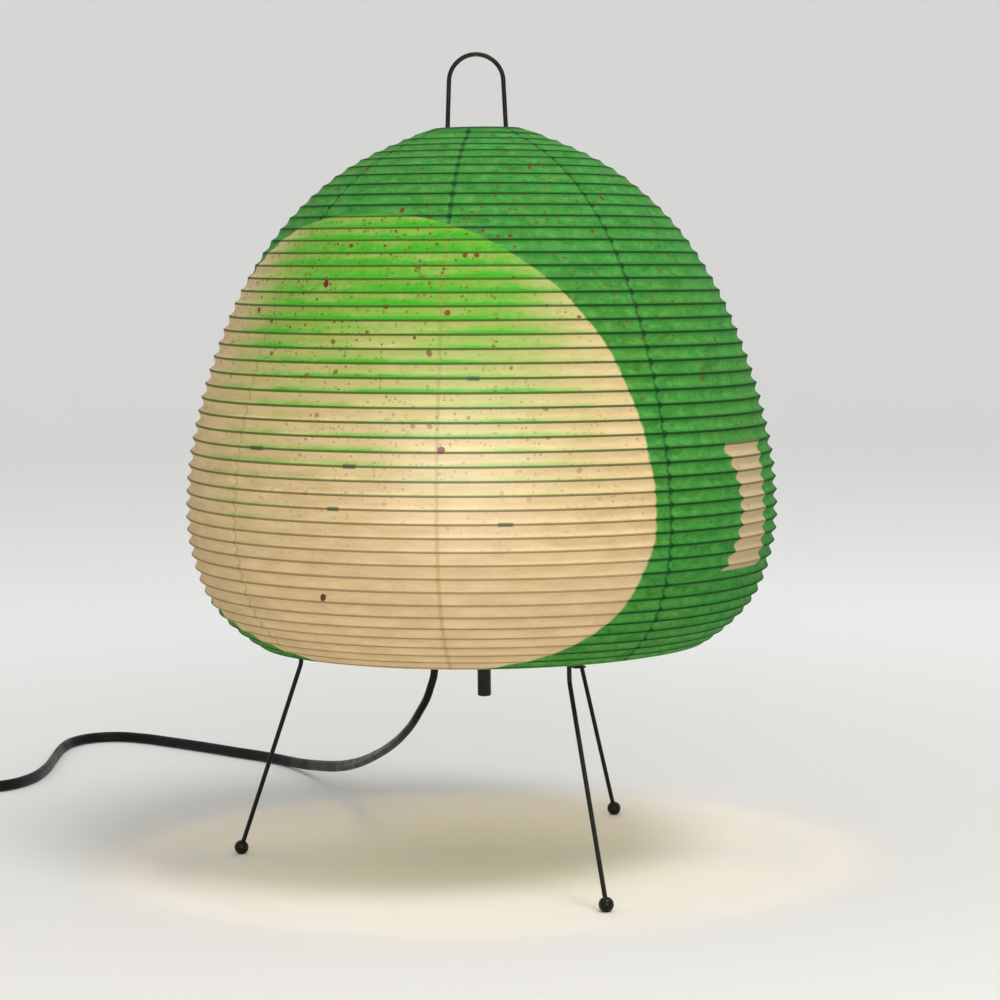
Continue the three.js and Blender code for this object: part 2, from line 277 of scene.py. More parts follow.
class Paint:
    """One procedural material. Its functions add nodes, and take and give sockets or plain numbers."""

    def __init__(self, name, roughness=0.5, metallic=0.0, **sockets):
        self.material = bpy.data.materials.new(name)
        self.material.use_nodes = True
        self.tree = self.material.node_tree
        self.shader = self.tree.nodes["Principled BSDF"]
        self.set("Roughness", roughness)
        self.set("Metallic", metallic)
        for socket, value in sockets.items():
            self.set(socket.replace("_", " "), value)
        self.place = self.node("TexCoord").outputs["Object"]

    def node(self, kind, **settings):
        made = self.tree.nodes.new("ShaderNode" + kind)
        for key, value in settings.items():
            setattr(made, key, value)
        return made

    def join(self, value, socket):
        if isinstance(value, bpy.types.NodeSocket):
            self.tree.links.new(value, socket)
        else:
            socket.default_value = value

    def set(self, name, value):
        self.join(value, self.shader.inputs[name])

    def math(self, operation, *values):
        made = self.node("Math", operation=operation)
        for value, socket in zip(values, made.inputs):
            self.join(value, socket)
        return made.outputs[0]

    def add(self, *values):
        total = values[0]
        for value in values[1:]:
            total = self.math("ADD", total, value)
        return total

    def times(self, *values):
        product = values[0]
        for value in values[1:]:
            product = self.math("MULTIPLY", product, value)
        return product

    def minus(self, a, b):
        return self.math("SUBTRACT", a, b)

    def opposite(self, value):
        return self.math("SUBTRACT", 1.0, value)

    def between(self, value, low, high, to_low=0.0, to_high=1.0):
        """A smooth step from to_low at low to to_high at high."""
        made = self.node("MapRange", interpolation_type="SMOOTHSTEP")
        for socket, given in zip(made.inputs, (value, low, high, to_low, to_high)):
            self.join(given, socket)
        return made.outputs[0]

    def stretched(self, scale, place=None):
        made = self.node("VectorMath", operation="MULTIPLY")
        self.join(self.place if place is None else place, made.inputs[0])
        made.inputs[1].default_value = scale
        return made.outputs[0]

    def noise(self, scale, detail=3.0, rough=0.5, stretch=(1, 1, 1), place=None):
        made = self.node("TexNoise")
        self.join(self.stretched(stretch, place), made.inputs["Vector"])
        made.inputs["Scale"].default_value = scale
        made.inputs["Detail"].default_value = detail
        made.inputs["Roughness"].default_value = rough
        return made.outputs[0]

    def mix(self, share, a, b):
        made = self.node("Mix", data_type="RGBA")
        self.join(share, made.inputs["Factor"])
        self.join(a, self.colour_socket(made.inputs, "A"))
        self.join(b, self.colour_socket(made.inputs, "B"))
        return self.colour_socket(made.outputs, "Result")

    def colour_socket(self, sockets, name):
        return next(s for s in sockets if s.name == name and s.type == "RGBA")

    def shaded(self, colour, light):
        """A colour times a number."""
        made = self.node("VectorMath", operation="SCALE")
        self.join(colour, made.inputs[0])
        self.join(light, made.inputs["Scale"])
        return made.outputs[0]

    def bump(self, height, depth, strength=1.0):
        made = self.node("Bump")
        made.inputs["Strength"].default_value = strength
        made.inputs["Distance"].default_value = depth
        self.join(height, made.inputs["Height"])
        self.set("Normal", made.outputs[0])


def black_wire():
    paint = Paint("black_wire", Specular_IOR_Level=0.22)
    patches = paint.noise(260, 3)
    streaks = paint.noise(90, 2, stretch=(6, 6, 0.6))
    paint.set("Base Color", paint.mix(patches, srgb(6, 7, 4), srgb(20, 18, 12)))
    paint.set("Roughness", paint.between(streaks, 0.3, 0.7, 0.28, 0.5))
    paint.bump(paint.noise(900, 2), 0.02 * MM, 0.5)
    return paint.material


def black_plastic():
    paint = Paint("black_plastic")
    patches = paint.noise(120, 3)
    paint.set("Base Color", paint.mix(patches, srgb(9, 9, 9), srgb(19, 18, 17)))
    paint.set("Specular IOR Level", 0.3)
    paint.set("Roughness", paint.between(paint.noise(300, 2), 0.3, 0.7, 0.38, 0.52))
    paint.bump(paint.noise(700, 2), 0.03 * MM, 0.5)
    return paint.material


def bamboo():
    paint = Paint("bamboo")
    grain = paint.noise(40, 4, 0.6, stretch=(1, 1, 14))
    patches = paint.noise(60, 2)
    tan = paint.mix(grain, srgb(148, 112, 62), srgb(196, 160, 104))
    paint.set("Base Color", paint.mix(paint.between(patches, 0.45, 0.7), tan, srgb(120, 88, 48)))
    paint.set("Roughness", paint.between(grain, 0.3, 0.7, 0.5, 0.75))
    paint.bump(grain, 0.05 * MM, 0.6)
    return paint.material


def metal(name, dark, light, rough_low, rough_high, stretch=(1, 12, 1), scale=120):
    paint = Paint(name, metallic=1.0)
    brushed = paint.noise(scale, 4, 0.6, stretch=stretch)
    paint.set("Base Color", paint.mix(brushed, srgb(*dark), srgb(*light)))
    paint.set("Roughness", paint.between(brushed, 0.3, 0.7, rough_low, rough_high))
    paint.bump(brushed, 0.01 * MM, 0.5)
    return paint.material


def bulb_housing():
    paint = Paint("bulb_housing")
    patches = paint.noise(80, 2)
    paint.set("Base Color", paint.mix(patches, srgb(228, 227, 222), srgb(240, 239, 235)))
    paint.set("Roughness", paint.between(patches, 0.3, 0.7, 0.35, 0.5))
    return paint.material


def bulb_glass():
    paint = Paint("bulb_glass", roughness=0.4, Emission_Strength=48.0)
    patches = paint.noise(50, 2)
    paint.set("Base Color", paint.mix(patches, srgb(250, 240, 222), srgb(255, 248, 236)))
    paint.set("Emission Color", paint.mix(patches, srgb(255, 206, 112), srgb(255, 212, 120)))
    return paint.material


def cord_sheath():
    paint = Paint("cord_sheath")
    scuffs = paint.noise(90, 4, 0.6)
    paint.set("Base Color", paint.mix(scuffs, srgb(4, 4, 4), srgb(13, 12, 12)))
    paint.set("Specular IOR Level", 0.18)
    paint.set("Roughness", paint.between(scuffs, 0.35, 0.7, 0.36, 0.52))
    paint.bump(paint.noise(500, 2), 0.03 * MM, 0.4)
    return paint.material


# ---------- the shade ----------
def outline_at(turns):
    """Points (radius, height) of the shade's outer face, in metres."""
    points = metres((OUTLINE_BEFORE, *SHADE_OUTLINE, OUTLINE_AFTER))
    place = np.asarray(turns, float) / TURNS_PER_POINT
    index = np.clip(place.astype(int), 0, len(SHADE_OUTLINE) - 2)
    u = (place - index)[..., None]
    a, b, c, d = (points[index + k] for k in range(4))
    return 0.5 * (2 * b + (c - a) * u + (2 * a - 5 * b + 4 * c - d) * u ** 2
                  + (3 * b - a - 3 * c + d) * u ** 3)


def inward_at(turns):
    """The unit vector (radius, height) that points into the shade, square to its outline."""
    turns = np.clip(np.asarray(turns, float), 0.01, TURNS - 0.01)
    along = outline_at(turns + 0.01) - outline_at(turns - 0.01)
    along /= np.linalg.norm(along, axis=-1, keepdims=True)
    return np.stack([along[..., 1], -along[..., 0]], axis=-1)


def sag_at(share):
    return 1 - abs(2 * share - 1) ** SAG_POWER


def slack_at(turns):
    """How slack the paper is: least near the rings, most from the middle down."""
    from_top = np.clip((turns - 4) / 22, 0, 1)
    from_bottom = np.clip((TURNS + 1 - turns) / 9, 0, 1)
    return SAG_ENDS + (1 - SAG_ENDS) * eased(from_top) * eased(from_bottom)


class ShadeGrid:
    """The shade as one sheet whose rows follow the rib, so that each crease lies on an edge of the mesh.

    A vertex is named by the rib's turn above it, its row in that turn and its column. The first and the last
    turn taper to nothing where the rib begins and ends, and a level hem closes each end.
    """

    def __init__(self):
        self.turns, self.shares, self.sags, self.columns = [], [], [], []
        self.index = {}
        self.faces = []
        self.creases = []
        self.fill()

    def vertex(self, turn, row, column):
        if column == COLUMNS:
            return self.vertex(turn + 1, row, 0) if turn < TURNS - 1 else self.vertex(TURNS, 0, 0)
        if row == len(ROWS):
            return self.vertex(turn + 1, 0, column)
        share = column / COLUMNS
        if turn == -1 and column == 0:
            turn, row = 0, 0
        if turn == TURNS:
            row = 0
        key = (turn, row, column)
        if key not in self.index:
            down, width = ROWS[row], 1.0
            if turn == -1:
                place, width = share * down, share
            elif turn == TURNS - 1:
                width = 1 - share
                place = turn + share + width * down
            elif turn == TURNS:
                place = float(TURNS)
            else:
                place = turn + share + down
            self.put(key, place, share, sag_at(down) * width)
        return self.index[key]

    def put(self, key, place, share, sag):
        self.index[key] = len(self.turns)
        self.turns.append(place)
        self.shares.append(share)
        self.sags.append(sag)

    def hem(self, key, place, column):
        if (key, column) not in self.index:
            self.put((key, column), place, column / COLUMNS, 0.0)
        return self.index[(key, column)]

    def face(self, *corners):
        corners = list(dict.fromkeys(corners))
        if len(corners) > 2:
            self.faces.append(corners)

    def fill(self):
        for turn in range(-1, TURNS):
            for column in range(COLUMNS):
                for row in range(len(ROWS)):
                    self.face(self.vertex(turn, row, column), self.vertex(turn, row + 1, column),
                              self.vertex(turn, row + 1, column + 1), self.vertex(turn, row, column + 1))
                if turn >= 0:
                    self.creases.append((self.vertex(turn, 0, column), self.vertex(turn, 0, column + 1)))
        for column in range(COLUMNS):
            after = (column + 1) % COLUMNS
            ends = (column, after)
            top = [self.hem(f"top{k}", -MARGIN_TURNS * (1 - k / 2), c) for k in (0, 1) for c in ends]
            upper = [self.vertex(-1, 0, column), self.vertex(-1, 0, column + 1)]
            self.face(top[0], top[2], top[3], top[1])
            self.face(top[2], upper[0], upper[1], top[3])
            low = [self.hem(f"low{k}", TURNS + MARGIN_TURNS * k / 2, c) for k in (1, 2) for c in ends]
            lower = [self.vertex(TURNS, 0, column), self.vertex(TURNS, 0, after)]
            self.face(lower[0], low[0], low[1], lower[1])
            self.face(low[0], low[2], low[3], low[1])

    def points(self, depth):
        """The sheet's vertices at a depth below its outer face."""
        turns, shares, sags = (np.array(v, float) for v in (self.turns, self.shares, self.sags))
        inside = np.clip(turns, 0, TURNS)
        profile = outline_at(inside)
        over = np.clip(-turns / MARGIN_TURNS, 0, 1)[:, None]
        under = np.clip((turns - TURNS) / MARGIN_TURNS, 0, 1)[:, None]
        profile = profile * (1 - over) + metres(SHADE_TOP_EDGE) * over
        profile = profile * (1 - under) + metres(SHADE_BOTTOM_EDGE) * under
        profile = profile + inward_at(inside) * (sags * slack_at(inside) * SAG + depth)[:, None]
        angle = 2 * math.pi * shares - math.pi / 2
        return np.stack([profile[:, 0] * np.cos(angle), profile[:, 0] * np.sin(angle), profile[:, 1]], axis=1)


def rim_edges(faces):
    """The edges that one face alone has, in that face's order."""
    seen = {}
    for corners in faces:
        for a, b in zip(corners, corners[1:] + corners[:1]):
            seen[(a, b)] = True
    return [(a, b) for a, b in seen if (b, a) not in seen]


def paper_shade(material):
    grid = ShadeGrid()
    outside, inside = grid.points(0.0), grid.points(PAPER)
    count = len(outside)
    faces = [list(c) for c in grid.faces]
    faces += [[count + i for i in reversed(c)] for c in grid.faces]
    faces += [[b, a, count + a, count + b] for a, b in rim_edges(grid.faces)]
    piece = add_mesh("shade", np.concatenate([outside, inside]), faces, "lamp", material)
    store_turns(piece, np.array(grid.turns * 2))
    mark_creases(piece, grid.creases, count)
    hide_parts("paper_shade")
    return piece


def store_turns(piece, turns):
    attribute = piece.data.attributes.new("rib_turn", "FLOAT", "POINT")
    attribute.data.foreach_set("value", turns.astype(np.float32))


def mark_creases(piece, creases, count):
    wanted = {tuple(sorted(edge)) for edge in creases}
    wanted |= {tuple(sorted((a + count, b + count))) for a, b in creases}
    for edge in piece.data.edges:
        if tuple(sorted(edge.vertices)) in wanted:
            edge.use_edge_sharp = True


def bamboo_rib(material):
    steps = 40
    turns = np.arange(TURNS * steps + 1) / steps
    profile = outline_at(turns) + inward_at(turns) * (PAPER + RIB_RADIUS * 1.25)
    angle = 2 * math.pi * turns - math.pi / 2
    points = np.stack([profile[:, 0] * np.cos(angle), profile[:, 0] * np.sin(angle), profile[:, 1]], axis=1)
    across, up = carried_axes(points, (0, 0, 1))
    vertices, faces = swept(points, across, up, round_section(RIB_RADIUS, 6))
    piece = add_mesh("rib", vertices, faces, "lamp", material)
    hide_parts("bamboo_rib")
    return piece


# Painted ground, in degrees from the lamp's front (towards +X) and turns of the rib.
GREEN = srgb(50, 138, 54)
GREEN_DARK = srgb(32, 106, 34)
GREEN_OLIVE = srgb(72, 130, 44)
CREAM = srgb(191, 166, 121)
CREAM_LIGHT = srgb(208, 183, 139)
PATCH_CREAM = srgb(182, 162, 126)
WASH = srgb(54, 154, 30)
WASH_THIN = srgb(156, 172, 68)
WASH_DEEP = srgb(36, 122, 24)
SEAM_TEAL = srgb(2, 62, 26)
SEAM_TAN = srgb(132, 132, 62)
FLECK = srgb(112, 40, 26)
# Colours of painted shade: the dark lines where the ribs behind the paper and the creases shade the washi.
SHADE_LINE_ON_GREEN = srgb(4, 56, 6)
SHADE_LINE_ON_CREAM = srgb(66, 84, 24)
SHADE_LINE_LOW = srgb(110, 78, 44)
OVAL_WIDTH = 60.2
OVAL_MIDDLE_TURN = 27.0
OVAL_HALF_TURNS = (17.3, 18.8)   # above and below the middle
PATCH_TURNS = (26.9, 36.5)
PATCH_RIGHT = 69.4
SEAM_EVERY = 45.0
SEAM_FIRST = -7.8
SEAM_HALF = 0.75 * MM
# Where the bamboo is spliced, and the larger drops of paint: azimuth, turn, half width in degrees.
SPLICES = ((-47.0, 27.0, 2.2), (-24.5, 28.0, 1.6), (-27.5, 31.0, 1.4), (-1.0, 22.0, 1.4), (4.5, 32.0, 1.6))
DROPS = ((-7.0, 26.8, 0.8), (-31.5, 37.6, 0.7), (-38.0, 15.2, 0.8))


class ShadePaint(Paint):
    """The washi: its painted grounds, wash, seams and flecks, dark rib lines of painted shade, and a glow of
    painted light.
    """

    def __init__(self):
        super().__init__("washi", roughness=0.85, Emission_Strength=1.0, Specular_IOR_Level=0.2)
        split = self.node("SeparateXYZ")
        self.join(self.place, split.inputs[0])
        x, y, self.z = split.outputs
        around = self.math("ARCTAN2", x, self.math("MULTIPLY", y, -1.0))
        self.azimuth = self.math("DEGREES", around)
        self.radius = self.math("SQRT", self.add(self.times(x, x), self.times(y, y)))
        self.turn = self.node("Attribute", attribute_name="rib_turn").outputs["Fac"]
        self.ribbon = self.minus(self.turn, self.times(self.azimuth, 1 / 360))
        self.phase = self.math("FRACT", self.add(self.ribbon, 10.0))
        self.near_rib = self.math("MINIMUM", self.phase, self.opposite(self.phase))
        self.fibres = self.noise(60, 5, 0.65, stretch=(1, 1, 3.5))
        self.blotches = self.noise(14, 4, 0.6, stretch=(1, 1, 2.2))
        self.colour()

    def inside_oval(self):
        wobble = self.times(self.minus(self.noise(55, 2), 0.5), 1.2)
        scallop = self.times(self.math("SINE", self.times(self.phase, math.pi)), 0.8)
        middle = self.add(self.times(self.turn, 0.37), -37.8)
        aside = self.minus(self.azimuth, middle)
        widened = self.times(self.between(self.turn, 18.0, 36.0), self.between(self.turn, 43.5, 37.0))
        widened = self.times(widened, self.math("LESS_THAN", aside, 0.0), 10.0)
        off = self.minus(self.math("ABSOLUTE", aside), widened)
        off = self.times(self.add(self.minus(off, scallop), wobble), 1 / OVAL_WIDTH)
        down = self.minus(self.turn, OVAL_MIDDLE_TURN)
        above = self.times(down, -1 / OVAL_HALF_TURNS[0])
        below = self.times(down, 1 / OVAL_HALF_TURNS[1])
        height = self.math("MAXIMUM", above, below)
        reach = self.add(self.math("POWER", self.math("MAXIMUM", off, 0.0), 2.4),
                         self.math("POWER", height, 2.4))
        return self.between(reach, 1.012, 0.988)

    def inside_patch(self):
        middle = self.times(self.minus(self.turn, 31.8), 1 / 4.8)
        bow = self.math("MAXIMUM", self.opposite(self.times(middle, middle)), 0.0)
        left = self.add(53.4, self.times(bow, 5.2))
        scallop = self.times(self.math("SINE", self.times(self.phase, math.pi)), 0.4)
        right_of_left = self.between(self.minus(self.add(self.azimuth, scallop), left), -0.25, 0.25)
        left_of_right = self.between(self.azimuth, PATCH_RIGHT + 0.25, PATCH_RIGHT - 0.25)
        below_top = self.between(self.ribbon, PATCH_TURNS[0], PATCH_TURNS[0] + 0.06)
        above_end = self.between(self.ribbon, PATCH_TURNS[1], PATCH_TURNS[1] - 0.06)
        return self.times(right_of_left, left_of_right, below_top, above_end)

    def washed(self, ground):
        """Green that has run down the cream: a thin veil, and strong green gathered above each rib."""
        drift = self.times(self.minus(self.noise(9, 3, 0.6), 0.5), 12.0)
        side = self.minus(self.azimuth, self.add(-21.0, self.times(drift, 1.2)))
        side = self.math("EXPONENT", self.times(side, side, -1 / 1350))
        level = self.add(self.turn, drift)
        streaks = self.between(self.noise(70, 4, 0.65, stretch=(0.35, 0.35, 3.0)), 0.32, 0.66)
        grains = self.between(self.noise(230, 4, 0.7), 0.36, 0.64)
        texture = self.add(self.times(streaks, 0.4), self.times(grains, 0.2), 0.55)
        veil = self.times(self.between(level, 31.0, 13.0), self.between(side, 0.05, 0.7))
        low_in_facet = self.between(self.phase, 0.0, 0.8, 0.7, 1.3)
        strong = self.times(self.between(level, 26.0, 12.0), self.between(side, 0.08, 0.6), low_in_facet)
        patchy = self.between(self.noise(24, 3, 0.6, stretch=(0.5, 0.5, 3)), 0.3, 0.6)
        pooled = self.times(self.between(self.phase, 0.42, 0.95), self.between(level, 35.0, 22.0))
        pool = self.times(pooled, patchy, self.between(side, 0.03, 0.6))
        specks = self.times(self.flecks(300, 0.0003, 0.0010, 0.8), self.between(level, 34.0, 16.0), side)
        ground = self.mix(self.times(veil, texture), ground, WASH_THIN)
        ground = self.mix(self.times(strong, texture, 0.88), ground, WASH)
        ground = self.mix(self.times(pool, texture, 1.5), ground, WASH)
        return self.mix(self.times(specks, 0.6), ground, WASH_DEEP)

    def seam(self):
        """The gores' overlaps, every 45 degrees round."""
        shift = self.times(self.minus(self.noise(0.9, 2, place=self.flat(self.turn)), 0.5), 0.3)
        off = self.add(self.azimuth, shift, 360.0 - SEAM_FIRST + SEAM_EVERY / 2)
        off = self.minus(self.math("MODULO", off, SEAM_EVERY), SEAM_EVERY / 2)
        aside = self.times(self.math("ABSOLUTE", off), self.radius, math.pi / 180)
        wider = self.between(self.near_rib, 0.3, 0.05, 1.0, 1.5)
        return self.between(self.math("DIVIDE", aside, wider), SEAM_HALF * 1.35, SEAM_HALF * 0.7)

    def flat(self, value):
        made = self.node("CombineXYZ")
        self.join(value, made.inputs[0])
        return made.outputs[0]

    def flecks(self, scale, small, large, share):
        """Spots of spattered paint, one in some of the cells."""
        made = self.node("TexVoronoi")
        warp = self.node("VectorMath", operation="ADD")
        self.join(self.place, warp.inputs[0])
        bend = self.node("TexNoise")
        self.join(self.place, bend.inputs["Vector"])
        bend.inputs["Scale"].default_value = scale * 2.5
        self.join(self.stretched((0.0012, 0.0012, 0.0012), bend.outputs["Color"]), warp.inputs[1])
        self.join(warp.outputs[0], made.inputs["Vector"])
        made.inputs["Scale"].default_value = scale
        pick = self.node("SeparateColor")
        self.join(made.outputs["Color"], pick.inputs[0])
        present = self.math("LESS_THAN", pick.outputs[0], share)
        size = self.times(self.between(pick.outputs[1], 0.0, 1.0, small, large), scale)
        spot = self.between(made.outputs["Distance"], size, self.times(size, 0.7))
        return self.times(spot, present)

    def spattered(self, ground):
        clusters = self.between(self.noise(22, 2), 0.36, 0.6, 0.2, 1.0)
        upper = self.between(self.turn, 38.0, 14.0, 0.1, 1.0)
        small = self.times(self.flecks(420, 0.0003, 0.0009, 0.75), clusters, 0.85)
        large = self.flecks(150, 0.0006, 0.0015, 0.45)
        fleck = self.math("MAXIMUM", small, large)
        return self.mix(self.times(fleck, upper, 0.9), ground, FLECK)

    def spliced(self, ground):
        """Grey-green marks where one length of bamboo follows another."""
        marks = 0.0
        for azimuth, turn, half in SPLICES:
            across = self.math("ABSOLUTE", self.add(self.azimuth, -azimuth))
            nearby = self.math("LESS_THAN", self.math("ABSOLUTE", self.add(self.turn, -turn)), 0.5)
            marks = self.math("MAXIMUM", marks, self.times(self.between(across, half, half * 0.7), nearby))
        edge = self.between(self.near_rib, 0.2, 0.1)
        ground = self.mix(self.times(marks, edge, 0.85), ground, srgb(56, 78, 50))
        drops = 0.0
        for azimuth, turn, half in DROPS:
            across = self.times(self.add(self.azimuth, -azimuth), 1 / half)
            down = self.times(self.add(self.turn, -turn), 2.7 / half)
            round_off = self.add(self.times(across, across), self.times(down, down))
            drops = self.math("MAXIMUM", drops, self.between(round_off, 1.1, 0.6))
        return self.mix(self.times(drops, 0.95), ground, srgb(96, 20, 26))

    def colour(self):
        oval = self.inside_oval()
        patch = self.inside_patch()
        cream = self.math("MAXIMUM", oval, patch)
        light = self.between(self.fibres, 0.25, 0.75)
        cream_ground = self.mix(light, CREAM, CREAM_LIGHT)
        cream_ground = self.mix(patch, self.washed(cream_ground), PATCH_CREAM)
        mottled = self.mix(self.between(self.blotches, 0.3, 0.75), GREEN, GREEN_OLIVE)
        green = self.mix(self.between(self.fibres, 0.35, 0.8), mottled, GREEN_DARK)
        grains = self.between(self.noise(210, 5, 0.75, stretch=(1, 1, 1.4)), 0.4, 0.66)
        green = self.mix(self.times(grains, 0.5), green, srgb(92, 160, 76))
        scuffs = self.between(self.noise(130, 4, 0.7), 0.52, 0.7)
        green = self.mix(self.times(scuffs, 0.5), green, srgb(24, 92, 20))
        # Painted shade: the green grows darker towards each rib, in the creases.
        near = self.between(self.near_rib, 0.34, 0.06)
        green = self.mix(self.times(near, 0.65), green, GREEN_DARK)
        ground = self.mix(cream, green, cream_ground)
        seam = self.seam()
        ground = self.mix(self.times(seam, cream, 0.38), ground, SEAM_TAN)
        knots = self.between(self.near_rib, 0.3, 0.1, 0.5, 1.0)
        ground = self.mix(self.times(seam, self.opposite(cream), knots), ground, SEAM_TEAL)
        ground = self.spattered(ground)
        # Painted shade: a dark line along each rib, where the rib behind the paper and the crease shade the
        # washi; it also dims the glow.
        rib = self.times(self.between(self.near_rib, 0.12, 0.045), self.within_ribs())
        low = self.between(self.turn, 24.0, 38.0)
        line = self.mix(cream, SHADE_LINE_ON_GREEN, self.mix(low, SHADE_LINE_ON_CREAM, SHADE_LINE_LOW))
        shown = self.opposite(self.times(low, cream, 0.35))
        ground = self.mix(self.times(rib, shown, 0.92), ground, line)
        ground = self.spliced(ground)
        # Painted shade: a dark band on the hem just under the top edge.
        rim = self.between(self.turn, -0.2, -0.4)
        ground = self.mix(self.times(rim, 0.8), ground, SHADE_LINE_ON_GREEN)
        self.set("Base Color", ground)
        self.set("Emission Color", self.glowing(ground, rib))
        height = self.add(self.times(self.fibres, 0.6), self.times(seam, 0.5), self.times(rib, 0.6))
        self.bump(height, 0.12 * MM, 0.7)

    def within_ribs(self):
        started = self.between(self.turn, -0.02, 0.02)
        return self.times(started, self.between(self.turn, TURNS + 0.02, TURNS - 0.02))

    def glowing(self, ground, rib):
        """Painted light that comes through the paper: most at the bulb's height, more on the front and back
        than the sides, least at the ribs, with a painted hot spot on the front.
        """
        above = self.times(self.minus(self.z, BULB_CENTRE[2]), 1 / 0.085)
        level = self.math("EXPONENT", self.times(above, above, -1.0))
        # Painted light: more glow on the lamp's front and back than on its sides.
        facing = self.math("COSINE", self.math("RADIANS", self.add(self.azimuth, 8.0)))
        front = self.times(facing, facing)
        # Painted highlight: a hot spot on the front of the shade at the bulb's height, which also pales the
        # glow towards white.
        near = self.times(self.minus(self.z, 0.184), 1 / 0.034)
        aside = self.times(self.add(self.azimuth, 2.5), 1 / 15.0)
        off_spot = self.add(self.times(near, near), self.times(aside, aside))
        spot = self.math("EXPONENT", self.times(off_spot, -1.0))
        broad = self.times(level, self.add(0.04, self.times(front, 0.18)))
        light = self.add(broad, self.times(spot, 0.12), 0.03)
        light = self.times(light, self.opposite(self.times(rib, 0.7)))
        glow = self.shaded(ground, light)
        pale = self.times(spot, 0.17, self.opposite(self.times(rib, 0.6)))
        return self.mix(pale, glow, srgb(255, 250, 240))


# ---------- the wire stand ----------
def wire(name, points, material, node):
    points = np.array(points)
    start = points[1] - points[0]
    mostly_along_y = abs(start[1]) > 0.5 * np.linalg.norm(start)
    first_up = (1, 0, 0) if mostly_along_y else (0, 1, 0)
    across, up = carried_axes(points, first_up)
    section = round_section(WIRE_RADIUS, 16)
    vertices, faces = swept(points, across, up, section)
    piece = add_mesh(name, vertices, faces, "lamp", material)
    sharpen(piece, 50)
    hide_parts(node)
    return piece


def handle(material):
    def at(x, z, side):
        return metres((side * x, 0, z))

    def half(side):
        foot = at(HANDLE_SPREAD[0], HANDLE_FOOT_Z, side)
        spread, neck = at(*HANDLE_SPREAD, side), at(*HANDLE_NECK, side)
        top = at(HANDLE_ARC, HANDLE_ARC_Z, side)
        low_bend = rounded_corner(foot, spread, neck, 14 * MM)
        return [foot, *low_bend, *rounded_corner(spread, neck, top, 10 * MM)]

    arc = [math.pi * (1 - i / 32) for i in range(33)]
    loop = [at(HANDLE_ARC * math.cos(a), HANDLE_ARC_Z + HANDLE_ARC * math.sin(a), 1) for a in arc]
    wire("handle", [*half(-1), *loop, *reversed(half(1))], material, "handle_wire")


def ground_place(angle, radius, z):
    return metres((radius * math.cos(radians(angle)), radius * math.sin(radians(angle)), z))


def leg(name, ring_angle, foot_angle, foot_radius, material):
    top = ground_place(ring_angle, LEG_TOP_RADIUS, LEG_TOP_Z)
    corner = ground_place(ring_angle, LEG_TOP_RADIUS, LEG_BEND_Z)
    foot = ground_place(foot_angle, foot_radius, FOOT_CENTRE_Z)
    towards = (corner - foot) / np.linalg.norm(corner - foot)
    end = foot + towards * (FOOT_RADIUS * 0.6 * MM)
    line = [top, *rounded_corner(top, corner, foot, 8 * MM), end]
    wire(f"leg_{name}_wire", line, material, f"leg_{name}")


def foot_ball(name, foot_angle, foot_radius, material):
    low = -math.asin(FOOT_CENTRE_Z / FOOT_RADIUS)
    steps = 20
    profile = [(0.0, 0.0)]
    for i in range(steps + 1):
        angle = low + (math.pi / 2 - low) * i / steps
        radius = 0.0 if i == steps else FOOT_RADIUS * math.cos(angle)
        profile.append((radius, FOOT_CENTRE_Z + FOOT_RADIUS * math.sin(angle)))
    place = ground_place(foot_angle, foot_radius, 0) / MM
    piece = turned(f"ball_{name}", profile, material, f"foot_{name}", segments=40, place=place)


def hoop(name, node, radius, thick, z, material, steps=120, sides=14):
    angles = [2 * math.pi * i / steps for i in range(steps)]
    points = metres([(radius * math.cos(a), radius * math.sin(a), z) for a in angles])
    outward = points / np.linalg.norm(points * (1, 1, 0), axis=1, keepdims=True) * (1, 1, 0)
    up = np.tile((0.0, 0.0, 1.0), (steps, 1))
    vertices, faces = swept(points, outward, up, round_section(thick * MM, sides), closed=True)
    piece = add_mesh(name, vertices, [f[::-1] for f in faces], "lamp", material)
    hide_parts(node)


# ---------- the lead ----------
def coil_route():
    total = 2 * COIL_LAYER_TURNS + COIL_STEP_TURNS
    steps = int(total * 80)
    points = []
    for i in range(steps + 1):
        turn = total * i / steps
        rise = eased(min(max((turn - COIL_LAYER_TURNS) / COIL_STEP_TURNS, 0), 1))
        wound_in = min(turn / COIL_LAYER_TURNS, 1)
        wound_out = max((turn - COIL_LAYER_TURNS - COIL_STEP_TURNS) / COIL_LAYER_TURNS, 0)
        radius = COIL_OUTER + (COIL_INNER - COIL_OUTER) * (wound_in - wound_out)
        angle = radians(COIL_START - 360 * turn)
        points.append((
            COIL_CENTRE[0] + radius * math.cos(angle), COIL_CENTRE[1] + radius * math.sin(angle),
            COIL_LOW_Z + (COIL_HIGH_Z - COIL_LOW_Z) * rise,
        ))
    return metres(points)


def cord_line():
    lead = smooth_route(metres(LEAD_ROUTE), CORD_STEP)
    tail = smooth_route(metres(TAIL_ROUTE), CORD_STEP)
    return even_steps(np.concatenate([lead, coil_route(), tail]), CORD_STEP)


def cord_section():
    """Two round cores side by side, joined by a web."""
    core = CORD_THICK / 2
    apart = CORD_WIDTH / 2 - core
    waist = 0.80 * core
    half = []
    for i in range(9):
        angle = radians(-128 + 256 * i / 8)
        half.append((apart + core * math.cos(angle), core * math.sin(angle)))
    right = [(x, y) for x, y in half if x > 0]
    left = [(-x, -y) for x, y in right]
    return [*right, (0.0, waist), *left, (0.0, -waist)]


def unit(vectors):
    return vectors / np.linalg.norm(vectors, axis=1, keepdims=True)


